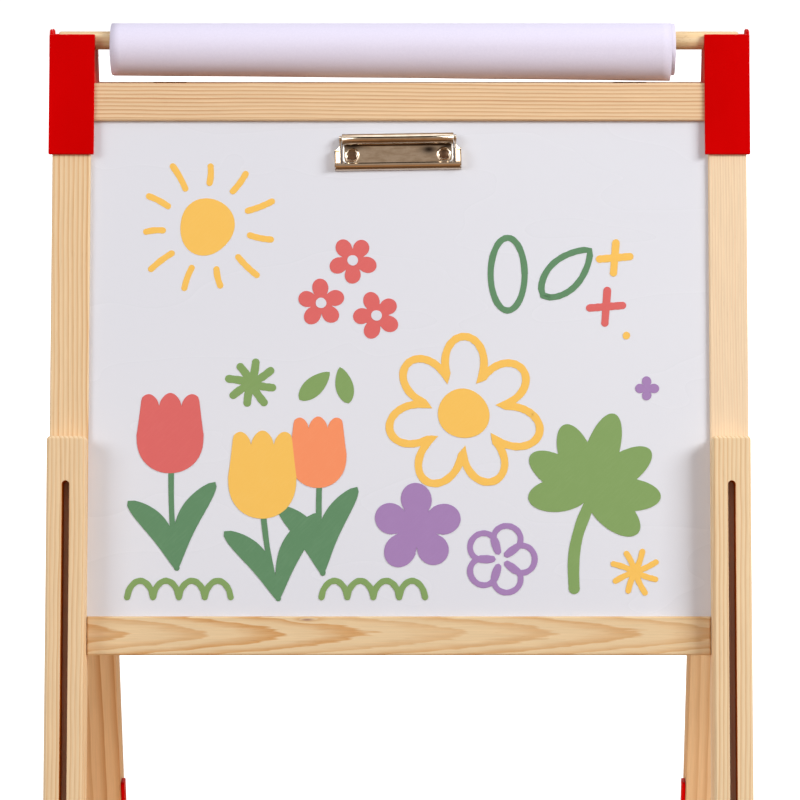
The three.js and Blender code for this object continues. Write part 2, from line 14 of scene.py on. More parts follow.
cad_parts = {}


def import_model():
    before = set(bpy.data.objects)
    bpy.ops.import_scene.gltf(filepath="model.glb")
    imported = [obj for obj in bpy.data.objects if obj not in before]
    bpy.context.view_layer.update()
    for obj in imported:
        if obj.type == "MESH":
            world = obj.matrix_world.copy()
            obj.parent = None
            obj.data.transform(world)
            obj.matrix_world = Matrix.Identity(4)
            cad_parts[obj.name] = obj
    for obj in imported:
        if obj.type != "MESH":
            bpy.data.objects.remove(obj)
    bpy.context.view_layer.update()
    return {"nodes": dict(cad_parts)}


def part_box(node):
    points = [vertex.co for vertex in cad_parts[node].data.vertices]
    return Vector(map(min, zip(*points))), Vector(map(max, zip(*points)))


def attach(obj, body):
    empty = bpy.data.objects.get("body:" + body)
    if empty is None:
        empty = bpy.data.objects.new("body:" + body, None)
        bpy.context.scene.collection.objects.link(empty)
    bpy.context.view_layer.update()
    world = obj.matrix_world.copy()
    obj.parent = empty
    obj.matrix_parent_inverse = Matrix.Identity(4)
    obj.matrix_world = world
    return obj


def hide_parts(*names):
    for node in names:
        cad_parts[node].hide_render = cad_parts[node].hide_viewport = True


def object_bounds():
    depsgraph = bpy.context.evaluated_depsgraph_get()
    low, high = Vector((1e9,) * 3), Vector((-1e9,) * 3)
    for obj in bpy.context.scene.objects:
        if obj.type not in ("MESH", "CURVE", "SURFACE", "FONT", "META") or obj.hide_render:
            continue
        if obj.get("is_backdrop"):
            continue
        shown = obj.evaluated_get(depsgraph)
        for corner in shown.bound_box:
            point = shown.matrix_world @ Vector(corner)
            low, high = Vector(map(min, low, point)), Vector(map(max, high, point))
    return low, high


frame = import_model()

NODES = frame["nodes"]
LEAN = math.radians(12)
pin_low, pin_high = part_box("left_hinge_pin")
AXIS_Z = (pin_low.z + pin_high.z) / 2
MM = Matrix.Scale(0.001, 4)
UPRIGHT = Matrix.Translation((0, 0, AXIS_Z))
HALF = {
    "front": UPRIGHT @ Matrix.Rotation(-LEAN, 4, "X") @ MM,
    "rear": Matrix.Rotation(math.pi, 4, "Z") @ UPRIGHT @ Matrix.Rotation(-LEAN, 4, "X") @ MM,
}
SIDES = {"left": -1, "right": 1}

TIMBER = 30.5
STILE_OUTER = 276
STILE_INNER = STILE_OUTER - TIMBER
STILE_MIDDLE = STILE_OUTER - TIMBER / 2
INNER_FACE = 2
OUTER_FACE = 17
BOARD_FACE = 13
GAP = 0.3
LEG_FACE = OUTER_FACE + GAP + 18
SLOT_TOP, SLOT_END = 317, 654
SLOT_REACH = 3.1
AXIS_ABOVE_RAIL = 1.4
ROD_HEIGHT = 35.2
ROD_RADIUS = 7.2


def level(down):
    """z of a place that is so far down the frame from its top edge."""
    return -AXIS_ABOVE_RAIL - down


def local_side(half, where):
    """Which way a named side lies in its half's own coordinates: the rear half is turned round."""
    return SIDES[where] * (1 if half == "front" else -1)


# ------------ node trees


def linear(r, g, b):
    """An sRGB colour, 0 to 255, as linear RGBA."""
    def one(c):
        c /= 255
        return c / 12.92 if c <= 0.04045 else ((c + 0.055) / 1.055) ** 2.4
    return (one(r), one(g), one(b), 1)


class Tree:
    """A node tree, and short ways to add nodes to it."""

    def __init__(self, tree):
        self.tree = tree
        tree.nodes.clear()

    def put(self, socket, value):
        if isinstance(value, bpy.types.NodeSocket):
            self.tree.links.new(value, socket)
        elif value is not None:
            socket.default_value = value

    def node(self, kind, settings=None, **inputs):
        n = self.tree.nodes.new("ShaderNode" + kind)
        for key, value in (settings or {}).items():
            setattr(n, key, value)
        for key, value in inputs.items():
            self.put(n.inputs[key.replace("_", " ")], value)
        return n

    def math(self, operation, a, b=None, c=None, clamp=False):
        n = self.node("Math", {"operation": operation, "use_clamp": clamp})
        for socket, value in zip(n.inputs, (a, b, c)):
            self.put(socket, value)
        return n.outputs[0]

    def times(self, a, b, clamp=False):
        return self.math("MULTIPLY", a, b, clamp=clamp)

    def plus(self, a, b):
        return self.math("ADD", a, b)

    def minus(self, a, b):
        return self.math("SUBTRACT", a, b)

    def vector(self, x, y, z):
        return self.node("CombineXYZ", X=x, Y=y, Z=z).outputs[0]

    def split(self, vector):
        n = self.node("SeparateXYZ", Vector=vector)
        return n.outputs[0], n.outputs[1], n.outputs[2]

    def scaled(self, parts, factors):
        """A vector of some values, each times its own factor."""
        return self.vector(*(self.times(*pair) for pair in zip(parts, factors)))

    def squares(self, a, b):
        return self.plus(self.times(a, a), self.times(b, b))

    def swayed(self, value, noise, amount):
        """A value moved up or down by a noise that runs from 0 to 1."""
        return self.plus(value, self.times(self.minus(noise, 0.5), amount))

    def offset(self, value, centre, width):
        return self.math("DIVIDE", self.minus(value, centre), width)

    def place(self, location=(0, 0, 0), rotation=(0, 0, 0)):
        coords = self.node("TexCoord").outputs["Object"]
        return self.node("Mapping", Vector=coords, Location=location,
                         Rotation=rotation).outputs[0]

    def noise(self, vector, scale=1.0, detail=2.0, roughness=0.5):
        if isinstance(scale, tuple):  # a stretched noise
            vector = self.node("Mapping", Vector=vector, Scale=scale).outputs[0]
            scale = 1.0
        return self.node("TexNoise", Vector=vector, Scale=scale, Detail=detail,
                         Roughness=roughness).outputs[0]

    def ramp(self, factor, stops):
        n = self.node("ValToRGB", Fac=factor)
        while len(n.color_ramp.elements) < len(stops):
            n.color_ramp.elements.new(0.5)
        for element, (place, value) in zip(n.color_ramp.elements, stops):
            element.position = place
            colour = value if isinstance(value, tuple) else (value, value, value)
            element.color = (*colour[:3], 1)
        return n.outputs[0]

    def span(self, value, low, high, to_low=0.0, to_high=1.0):
        n = self.node("MapRange", {"clamp": True})
        for socket, item in zip(n.inputs, (value, low, high, to_low, to_high)):
            self.put(socket, item)
        return n.outputs[0]

    def mix(self, factor, a, b, blend="MIX"):
        n = self.node("Mix", {"data_type": "RGBA", "blend_type": blend})
        for index, item in ((0, factor), (6, a), (7, b)):
            self.put(n.inputs[index], item)
        return n.outputs[2]

    def choose(self, factor, a, b):
        n = self.node("MixShader")
        for socket, item in zip(n.inputs, (factor, a, b)):
            self.put(socket, item)
        return n.outputs[0]

    def bump(self, height, distance, strength=1.0, under=None):
        n = self.node("Bump", Height=height, Distance=distance, Strength=strength)
        if under is not None:
            self.put(n.inputs["Normal"], under)
        return n.outputs[0]


class Shader(Tree):
    """A material with a Principled shader."""

    def __init__(self, name, roughness=0.5, metallic=0.0, specular=0.5):
        self.material = bpy.data.materials.new(name)
        self.material.use_nodes = True
        super().__init__(self.material.node_tree)
        self.bsdf = self.node("BsdfPrincipled", Roughness=roughness, Metallic=metallic,
                              Specular_IOR_Level=specular)
        self.node("OutputMaterial", Surface=self.bsdf.outputs[0])

    def set(self, **sockets):
        for key, value in sockets.items():
            self.put(self.bsdf.inputs[key.replace("_", " ")], value)
        return self.material


# ------------ materials

EARLY = linear(241, 209, 165)
LATE = linear(214, 152, 90)


def grain_coords(s, half):
    """x, out and z of a point in its own half's coordinates, in metres."""
    turn = (LEAN, 0, 0) if half == "front" else (-LEAN, 0, math.pi)
    level_at_axis = Matrix.Rotation(LEAN, 4, "X") @ Vector((0, 0, -AXIS_Z))
    place = s.place(location=level_at_axis, rotation=turn)
    return s.split(place)


def pine(name, half, along, pith, spacing=3.4, taper=0.004, wobble=3.0, early=EARLY, late=LATE,
         contrast=0.8, seed=0.0, knots=(), sharp=0.5, fingers=0.0, slot=None):
    """Sawn pine. Rings are drawn round a pith outside or under the face, so that every face
    and end shows its own cut of the same log. along is the grain's axis, "x" or "z"; pith is
    the pith's place across the grain and out, in millimetres; slot is the x of a routed slot,
    whose walls are painted a saturated orange-brown as painted shade for the deep slot."""
    s = Shader(name, roughness=0.52, specular=0.32)
    x, y, z = grain_coords(s, half)
    run, across = (x, z) if along == "x" else (z, x)
    moved = s.plus(run, seed)
    grain = (moved, across, y)
    slow = s.noise(s.scaled(grain, (3.2, 9, 9)), detail=1.5)
    quick = s.noise(s.scaled(grain, (22, 90, 90)), detail=2)
    wave = s.noise(s.scaled(grain, (13, 30, 30)), detail=1)
    distance = s.math("SQRT", s.squares(s.minus(across, pith[0] / 1000),
                                        s.plus(y, pith[1] / 1000)))
    distance = s.plus(distance, s.times(run, taper))
    for noise, share in ((slow, 1000), (quick, 4500), (wave, 2200)):
        distance = s.swayed(distance, noise, wobble / share)
    if fingers:
        jags = s.noise(s.scaled(grain, (40, 480, 200)), detail=2)
        distance = s.swayed(distance, jags, fingers / 1000)
    dark = 0.0
    for place, side, length, width, strength in knots:
        r2 = s.squares(s.offset(run, place / 1000, length / 1000),
                       s.offset(across, side / 1000, width / 1000))
        bell = s.math("EXPONENT", s.times(r2, -1.0))
        distance = s.plus(distance, s.times(bell, 0.004 * strength))
        core = s.times(s.math("EXPONENT", s.times(r2, -6.0)), s.plus(quick, 0.3))
        dark = s.math("MAXIMUM", dark, s.times(core, strength))
    rings = s.math("DIVIDE", distance, spacing / 1000)
    turn = s.math("FRACT", rings)
    band = s.ramp(turn, [(0.0, 0.0), (sharp * 0.7, 0.12), (sharp + 0.28, 0.85),
                         (0.9, 1.0), (1.0, 0.0)])
    which = s.node("TexWhiteNoise", {"noise_dimensions": "1D"}, W=s.math("FLOOR", rings))
    weight = s.math("MULTIPLY_ADD", which.outputs["Value"], 0.45, 0.55)
    patch = s.span(slow, 0.3, 0.7, 0.75, 1.1)
    tone = s.times(s.times(band, weight), s.times(patch, contrast), clamp=True)
    colour = s.mix(tone, early, late)
    fibres = s.noise(s.scaled(grain, (30, 900, 900)), detail=3, roughness=0.65)
    shade = s.span(fibres, 0.28, 0.72, 0.93, 1.04)
    colour = s.mix(1.0, colour, s.vector(shade, shade, shade), "MULTIPLY")
    ducts = s.noise(s.scaled(grain, (95, 1500, 1500)), detail=1)
    duct = s.times(s.span(ducts, 0.7, 0.78, 0.0, 0.4), s.plus(tone, 0.25))
    colour = s.mix(duct, colour, linear(168, 112, 66))
    if knots:
        colour = s.mix(s.times(dark, 1.0, clamp=True), colour, linear(150, 104, 92))
    rough = s.span(fibres, 0.3, 0.7, 0.46, 0.6)
    # Painted shade: the slot's inner walls are coloured a saturated orange-brown in place of the
    # deep, warm shade inside the slot; their roughness goes to 1.
    if slot is not None:
        slot_wall_painted_shade = s.math("LESS_THAN", s.math("ABSOLUTE", s.minus(x, slot / 1000)),
                        SLOT_REACH / 1000)
        for test, value, bound in (("GREATER_THAN", y, 0.5 - LEG_FACE),
                                   ("LESS_THAN", z, level(SLOT_TOP)),
                                   ("GREATER_THAN", z, level(SLOT_END))):
            slot_wall_painted_shade = s.times(slot_wall_painted_shade, s.math(test, value, bound / 1000))
        colour = s.mix(slot_wall_painted_shade, colour, linear(206, 118, 0))
        rough = s.math("MAXIMUM", rough, slot_wall_painted_shade)
    height = s.plus(s.times(fibres, 0.6), s.times(tone, -0.5))
    return s.set(Base_Color=colour, Roughness=rough, Normal=s.bump(height, 0.00012, 0.6))


def beech_dowel():
    s = Shader("beech_rod", roughness=0.45, specular=0.35)
    x, y, z = s.split(s.place(location=(0, 0, -AXIS_Z - ROD_HEIGHT / 1000)))
    streak = s.noise(s.scaled((x, y, z), (9, 330, 330)), detail=3, roughness=0.6)
    flecks = s.noise(s.scaled((x, y, z), (240, 1800, 1800)), detail=1)
    colour = s.ramp(streak, [(0.28, linear(222, 182, 130)), (0.5, linear(240, 206, 156)),
                             (0.72, linear(249, 222, 178))])
    colour = s.mix(s.span(flecks, 0.62, 0.74, 0.0, 0.5), colour, linear(178, 128, 80))
    return s.set(Base_Color=colour, Normal=s.bump(flecks, 0.00008, 0.5))


def red_plastic():
    """Moulded polypropylene: a soft gloss, fine orange peel and faint flow marks."""
    s = Shader("red_moulding", roughness=0.45, specular=0.3)
    place = s.place()
    peel = s.noise(place, 900, 2)
    flow = s.noise(place, (14, 14, 5), 3)
    colour = s.ramp(flow, [(0.3, linear(200, 0, 0)), (0.55, linear(210, 0, 1)),
                           (0.75, linear(218, 1, 2))])
    scuff = s.noise(place, (160, 160, 40), 4, 0.7)
    rough = s.span(scuff, 0.35, 0.7, 0.4, 0.54)
    return s.set(Base_Color=colour, Roughness=rough, Specular_Tint=(1, 0.01, 0.01, 1),
                 Normal=s.bump(peel, 0.00005, 0.35))


def metal(name, tint, roughness, brush=(400, 400, 400), wear_and_painted_shade=None):
    s = Shader(name, roughness=roughness, metallic=1.0)
    place = s.place()
    lines = s.noise(place, brush, 3)
    blotch = s.noise(place, 90, 3)
    colour = s.ramp(blotch, [(0.3, tint), (0.7, tuple(min(1, c * 1.12) for c in tint[:3]) + (1,))])
    # A blotched darker colour: real wear on the hinge brass, painted shade on the eyelet discs.
    if wear_and_painted_shade is not None:
        colour = s.mix(s.span(blotch, 0.5, 0.68, 0.0, 0.7), colour, wear_and_painted_shade)
    rough = s.span(lines, 0.3, 0.7, roughness * 0.75, roughness * 1.35)
    return s.set(Base_Color=colour, Roughness=rough, Normal=s.bump(lines, 0.00002, 0.5))


def whiteboard():
    """Lacquered steel or film: a clear gloss with a faint orange peel and wiped smears."""
    s = Shader("whiteboard_face", roughness=0.22, specular=0.42)
    place = s.place()
    smear = s.noise(place, (2.6, 2.6, 3.6), 0)
    colour = s.ramp(smear, [(0.3, linear(229, 228, 234)), (0.7, linear(232, 231, 236))])
    wiped = s.noise(place, (8, 8, 22), 1)
    rough = s.span(wiped, 0.3, 0.7, 0.255, 0.285)
    peel = s.noise(place, 420, 1)
    return s.set(Base_Color=colour, Roughness=rough, Normal=s.bump(peel, 0.00003, 0.3))


def chalkboard():
    """Matt slate paint with the dust of wiped chalk."""
    s = Shader("chalkboard_face", roughness=0.86, specular=0.2)
    place = s.place()
    cloud = s.noise(place, (6, 6, 4), 6, 0.62)
    strokes = s.noise(place, (9, 60, 42), 5, 0.7)
    dust = s.times(s.span(cloud, 0.42, 0.72), s.span(strokes, 0.35, 0.75))
    colour = s.mix(s.times(dust, 0.4), linear(42, 50, 46), linear(128, 138, 132))
    grit = s.noise(place, 2400, 2)
    return s.set(Base_Color=colour, Normal=s.bump(grit, 0.0001, 0.5))


def paper():
    s = Shader("roll_paper", roughness=0.82, specular=0.2)
    place = s.place()
    fibre = s.noise(place, 700, 4, 0.7)
    wave = s.noise(place, (7, 30, 30), 2)
    colour = s.ramp(fibre, [(0.3, linear(228, 219, 236)), (0.7, linear(234, 225, 241))])
    ripples = s.bump(wave, 0.0012, 0.35)
    return s.set(Base_Color=colour, Normal=s.bump(fibre, 0.00004, 0.15, under=ripples))


def cardboard():
    s = Shader("core_board", roughness=0.9, specular=0.15)
    place = s.place()
    fibre = s.noise(place, (500, 900, 900), 4, 0.7)
    colour = s.ramp(fibre, [(0.3, linear(158, 120, 78)), (0.55, linear(182, 145, 100)),
                            (0.75, linear(203, 169, 126))])
    return s.set(Base_Color=colour, Normal=s.bump(fibre, 0.00015, 0.7))


def rubber():
    s = Shader("foot_rubber", roughness=0.75, specular=0.3)
    place = s.place()
    grain = s.noise(place, 1300, 3, 0.65)
    dust = s.noise(place, 45, 5, 0.65)
    colour = s.mix(s.span(dust, 0.5, 0.75, 0.0, 0.35), linear(34, 34, 36), linear(84, 80, 76))
    return s.set(Base_Color=colour, Normal=s.bump(grain, 0.00012, 0.6))


def marker(name, ink, pale):
    """Marker ink on the board: even, with faint paler streaks."""
    s = Shader(name, roughness=0.5, specular=0.3)
    x, y, z = grain_coords(s, "front")
    slant = (s.plus(x, z), s.minus(x, z), 0.0)
    streak = s.noise(s.scaled(slant, (60, 500, 0)), detail=3)
    blot = s.noise(s.scaled((x, z, 0.0), (70, 70, 0)), detail=3)
    mixed = s.span(s.plus(s.times(streak, 0.6), s.times(blot, 0.4)), 0.48, 0.72, 0.0, 0.35)
    return s.set(Base_Color=s.mix(mixed, linear(*ink), linear(*pale)))


NICKEL = metal("nickel_plate", linear(205, 190, 172), 0.12, (60, 500, 500))
# Painted shade: dark brown nickel for the discs in the eyelets' hollows, in place of the dark
# reflection and shade there.
EYELET_PAINTED_SHADE = metal("nickel_painted_eyelet_shade", linear(118, 92, 72), 0.4, (500, 500, 500),
                  wear_and_painted_shade=linear(70, 48, 34))
BRASS = metal("hinge_brass", linear(176, 136, 74), 0.3, (200, 900, 900), wear_and_painted_shade=linear(96, 66, 34))
STEEL = metal("zinc_steel", linear(172, 170, 168), 0.28, (700, 700, 700))
RED = red_plastic()
BEECH = beech_dowel()
WHITEBOARD = whiteboard()
CHALKBOARD = chalkboard()
PAPER = paper()
CARDBOARD = cardboard()
RUBBER = rubber()


# ------------ pieces


def piece(name, points, faces, matrix, body, material, slot=None, stands_for=(), sharp=35):
    """A smooth-shaded mesh whose vertices are in the row frame at rest, riding on a body."""
    data = bpy.data.meshes.new(name)
    data.from_pydata([matrix @ Vector(p) for p in points], [], faces)
    b = bmesh.new()
    b.from_mesh(data)
    bmesh.ops.remove_doubles(b, verts=b.verts, dist=2e-7)
    bmesh.ops.dissolve_degenerate(b, edges=b.edges, dist=1e-8)
    bmesh.ops.recalc_face_normals(b, faces=b.faces)
    b.to_mesh(data)
    b.free()
    data.shade_smooth()
    data.set_sharp_from_angle(angle=math.radians(sharp))
    data.materials.append(material)
    obj = bpy.data.objects.new(name, data)
    bpy.context.scene.collection.objects.link(obj)
    if stands_for:
        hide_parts(*stands_for)
    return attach(obj, body)


def together(*parts):
    """Several (points, faces) as one."""
    points, faces = [], []
    for p, f in parts:
        start = len(points)
        points += list(p)
        faces += [[i + start for i in face] for face in f]
    return points, faces


def ring_faces(rings, sides):
    """The faces that join a stack of rings of points, each ring to the next."""
    return [(j * sides + k, j * sides + (k + 1) % sides, (j + 1) * sides + (k + 1) % sides,
             (j + 1) * sides + k) for j in range(rings - 1) for k in range(sides)]


def moved(part, matrix):
    return [matrix @ Vector(p) for p in part[0]], part[1]


def turned(profile, centre=(0, 0, 0), axis="x", sides=48, lobes=None):
    """A turned solid about a line through centre. Profile points are (radius, along); along
    runs with x, or out from the fold plane for axis "out"."""
    points = []
    for radius, along in profile:
        for k in range(sides):
            angle = 2 * math.pi * k / sides
            r = radius * (lobes(angle) if lobes else 1)
            u, v = r * math.cos(angle), r * math.sin(angle)
            p = (along, u, v) if axis == "x" else (u, -along, v)
            points.append(tuple(a + b for a, b in zip(p, centre)))
    return points, ring_faces(len(profile), sides)


def rounded(x0, x1, z0, z1, corner):
    """The outline of a rectangle with rounded corners, as (a, b) points."""
    points, steps = [], 5
    for cx, cz, start in ((x1 - corner, z0 + corner, -90), (x1 - corner, z1 - corner, 0),
                          (x0 + corner, z1 - corner, 90), (x0 + corner, z0 + corner, 180)):
        for k in range(steps + 1):
            a = math.radians(start + 90 * k / steps)
            points.append((cx + corner * math.cos(a), cz + corner * math.sin(a)))
    return points


def prism(outline, low, high, plane="xz"):
    """An outline made thick: plane "xz" between two distances out, "yz" between two x."""
    n = len(outline)
    if plane == "xz":
        points = [(a, -low, b) for a, b in outline] + [(a, -high, b) for a, b in outline]
    else:
        points = [(low, a, b) for a, b in outline] + [(high, a, b) for a, b in outline]
    faces = [list(range(n)), list(range(2 * n - 1, n - 1, -1))]
    faces += [(k, (k + 1) % n, n + (k + 1) % n, n + k) for k in range(n)]
    return points, faces


def swept(path, half_width, half_height, sides):
    """A rounded bar along a path of (x, out, z) points that lies in an x and z plane."""
    points = []
    n = len(path)
    for i, here in enumerate(path):
        before, after = path[max(i - 1, 0)], path[min(i + 1, n - 1)]
        way = Vector((after[0] - before[0], 0, after[2] - before[2])).normalized()
        side = Vector((way.z, 0, -way.x))
        for k in range(sides):
            a = 2 * math.pi * k / sides
            p = Vector((here[0], -here[1], here[2])) + side * (half_width * math.cos(a))
            points.append((p.x, p.y - half_height * math.sin(a), p.z))
    ends = [list(range(sides)), list(range((n - 1) * sides, n * sides))]
    return points, ring_faces(n, sides) + ends


def soften(obj, width, segments=2, angle=28):
    """Rounds a mesh's sharp edges by a bevel, in millimetres."""
    bevel = obj.modifiers.new("edges", "BEVEL")
    bevel.width = width / 1000
    bevel.segments = segments
    bevel.limit_method = "ANGLE"
    bevel.angle_limit = math.radians(angle)
    bevel.harden_normals = True
    bevel.use_clamp_overlap = True
    return obj


def refine(node, material, width=0.4, segments=2):
    """Gives a CAD node its finish: flat faces merged, edges eased, and its material."""
    obj = NODES[node]
    weld = obj.modifiers.new("weld", "WELD")
    weld.merge_threshold = 2e-6
    flat = obj.modifiers.new("flat", "DECIMATE")
    flat.decimate_type = "DISSOLVE"
    flat.angle_limit = math.radians(1.5)
    soften(obj, width, segments)
    for slot in obj.material_slots:
        slot.material = material
    return obj


def screw_head(x, z, out, radius, axis="out"):
    """A countersunk head, flush with its surface, with a cross recess. axis is "out", or the
    way the head faces along x: then x stands for the y of its centre."""
    points, rings, sides, turn = [], 9, 40, 0.4
    for j in range(rings):
        r = radius * j / (rings - 1)
        for k in range(sides):
            a = 2 * math.pi * k / sides
            u, v = r * math.cos(a), r * math.sin(a)
            p, q = abs(r * math.cos(a - turn)), abs(r * math.sin(a - turn))
            arm = max(p, q) < 0.62 * radius and min(p, q) < 0.17 * radius
            depth = -0.28 * radius if arm else 0.02
            if j == rings - 1:
                depth = -0.08
            points.append((x + u, -(out + depth), z + v) if axis == "out" else
                          (out + depth * axis, u + x, z + v))
    return points, ring_faces(rings, sides)


# ------------ timber and boards

PINES = {
    "front_left_stile": dict(pith=(-330, -14), wobble=4.2, contrast=1.0, seed=0.3,
                             sharp=0.58),
    "front_right_stile": dict(pith=(190, 40), spacing=2.1, wobble=2.4, contrast=0.32, seed=1.7,
                              early=linear(246, 217, 180)),
    "front_left_leg": dict(pith=(-180, -30), spacing=2.8, wobble=4.4, contrast=0.75, seed=2.9,
                           sharp=0.58),
    "front_right_leg": dict(pith=(330, -25), spacing=2.6, wobble=3.4, seed=4.1,
                            early=linear(243, 214, 171), sharp=0.58),
    "front_top_rail": dict(pith=(-95, 10), spacing=3.1, wobble=3.4, contrast=1.35, seed=5.3,
                           early=linear(238, 204, 161), late=linear(198, 132, 80), sharp=0.66,
                           taper=0.007),
    "front_bottom_rail": dict(pith=(-439, 1.5), spacing=3.7, taper=0.058, wobble=3.6,
                              contrast=0.9, seed=6.2, early=linear(236, 205, 160),
                              late=linear(210, 150, 84), fingers=1.9,
                              knots=((-72, -428, 12, 2.2, 1.0),)),
    "rear_left_stile": dict(pith=(292, -9), spacing=11.5, wobble=6.5, contrast=0.95, seed=9.4,
                            early=linear(236, 196, 148), late=linear(192, 124, 58), sharp=0.68),
    "rear_right_stile": dict(pith=(-225, 30), spacing=6.5, wobble=4.5, contrast=0.7, seed=10.6,
                             early=linear(240, 204, 158), late=linear(204, 144, 84),
                             sharp=0.6),
    "rear_left_leg": dict(pith=(200, -20), spacing=3.1, wobble=3.2, seed=7.9),
    "rear_right_leg": dict(pith=(-350, 25), spacing=2.7, wobble=3.6, contrast=0.72, seed=8.8),
    "rear_top_rail": dict(pith=(-60, -30), spacing=3.0, wobble=3.4, seed=11.5),
    "rear_bottom_rail": dict(pith=(-430, 70), spacing=3.6, taper=0.012, wobble=3.4,
                             contrast=0.74, seed=12.7, knots=((120, -438, 9, 7, 1.2),)),
}
for node, settings in PINES.items():
    half = node.split("_")[0]
    along = "x" if node.endswith("rail") else "z"
    if node.endswith("leg"):
        settings["slot"] = STILE_MIDDLE * local_side(*node.split("_")[:2])
    refine(node, pine("pine_" + node, half, along, **settings),
           width=0.7 if node.endswith("leg") else 0.5, segments=3)

refine("whiteboard", WHITEBOARD, width=0.15)
refine("chalkboard", CHALKBOARD, width=0.15)

# ------------ mouldings, feet, stays

KNOB = 16.6
BOLT_DOWN = 650
STAY_DOWN = 671
STAY_OUT = INNER_FACE + 7.5
PLATE_THICK, LINK_THICK = 3, 2.9
PLATE_X = STILE_INNER - GAP
NEAR_LANE = PLATE_X - PLATE_THICK - GAP
FAR_LANE = NEAR_LANE - LINK_THICK - 0.4
PLATE_SCREWS = (628, 645)
BRACKET_SCREWS = (16, 44)
BRACKET_THICK = 2.5
STAY_LINK = STAY_OUT * math.cos(LEAN) - level(STAY_DOWN) * math.sin(LEAN)


def knob_lobes(angle):
    return 1 - 1.4 * (1 + math.cos(6 * angle)) / KNOB


for half, matrix in HALF.items():
    body = half + "_frame"
    for where in SIDES:
        side = local_side(half, where)
        stem = f"{half}_{where}"
        refine(stem + "_bracket", RED, width=0.45, segments=3)
        refine(stem + "_stay_plate", RED)
        refine(stem + "_stay_link", RED, width=0.5)
        refine(stem + "_foot", RUBBER, width=0.6, segments=3)
        x, z = side * STILE_MIDDLE, level(BOLT_DOWN)
        foot = LEG_FACE + GAP
        grip = turned([(2.9, foot + 4), (2.9, foot), (KNOB * 0.86, foot), (KNOB * 0.95, foot + 0.7),
                       (KNOB, foot + 2.2), (KNOB, foot + 10), (KNOB * 0.985, foot + 12),
                       (KNOB * 0.94, foot + 13.5), (KNOB * 0.86, foot + 14.5),
                       (KNOB * 0.76, foot + 15)], (x, 0, z), "out", 144, knob_lobes)
        cap = turned([(KNOB * 0.76, foot + 15), (KNOB * 0.6, foot + 15), (KNOB * 0.57, foot + 14.2),
                      (KNOB * 0.53, foot + 14.2), (KNOB * 0.5, foot + 14.8),
                      (KNOB * 0.3, foot + 15), (0, foot + 15)], (x, 0, z), "out", 144,
                     knob_lobes)
        piece(stem + "_grip_knob", *together(grip, cap), matrix, stem + "_knob", RED,
              "red_plastic", [stem + "_knob"])
        head = INNER_FACE + GAP
        bolt = turned([(0, head), (2.2, head + 0.05), (4.2, head + 0.3), (5.6, head + 0.8),
                       (6.3, head + 1.4), (6.5, head + 2.0), (6.5, head + 2.3), (2.5, head + 2.3),
                       (2.5, LEG_FACE + 10.4), (1.9, LEG_FACE + 11), (0, LEG_FACE + 11)],
                      (x, 0, z), "out", 40)
        piece(stem + "_carriage_bolt", *bolt, matrix, body, STEEL, "steel", [stem + "_bolt"])
        lane = NEAR_LANE if half == "front" else FAR_LANE
        start = lane - LINK_THICK - GAP
        z = level(STAY_DOWN)
        profile = [(0, start - 1.8), (1.8, start - 1.7), (3.4, start - 1.3), (4.2, start - 0.8),
                   (4.5, start - 0.3), (4.5, start), (2, start), (2, STILE_INNER + 8),
                   (0, STILE_INNER + 8)]
        pivot = turned([(r, side * a) for r, a in profile], (0, -STAY_OUT, z), "x", 32)
        piece(stem + "_stay_screw", *pivot, matrix, body, STEEL, "steel", [stem + "_stay_pivot"])
        heads = [screw_head(-STAY_OUT, level(down), side * (PLATE_X - PLATE_THICK), 2.6,
                            axis=-side) for down in PLATE_SCREWS]
        piece(stem + "_plate_screws", *together(*heads), matrix, body, STEEL, "steel")
        bracket_x = STILE_OUTER + GAP + BRACKET_THICK
        heads = [screw_head(-9.5, level(down), side * bracket_x, 3.0, axis=side)
                 for down in BRACKET_SCREWS]
        piece(stem + "_bracket_screws", *together(*heads), matrix, body, STEEL, "steel")

for where in SIDES:
    side = local_side("rear", where)
    start = FAR_LANE - LINK_THICK - GAP
    profile = [(0, start - 1.6), (1.8, start - 1.5), (3.4, start - 1.15), (4.2, start - 0.7),
               (4.5, start - 0.3), (4.5, start), (2, start), (2, FAR_LANE), (0, FAR_LANE)]
    place = Matrix.Translation((0, -STAY_OUT, level(STAY_DOWN))) @ Matrix.Rotation(LEAN, 4, "X")
    rivet = moved(turned([(r, side * a) for r, a in profile], (0, STAY_LINK, 0), "x", 32), place)
    piece(where + "_stay_joint_rivet", *rivet, HALF["rear"], f"rear_{where}_stay_link", STEEL,
          "steel", [where + "_stay_rivet"])

# ------------ hinges

HINGE_X, HINGE_HALF, KNUCKLE = 184.1, 13.5, 9

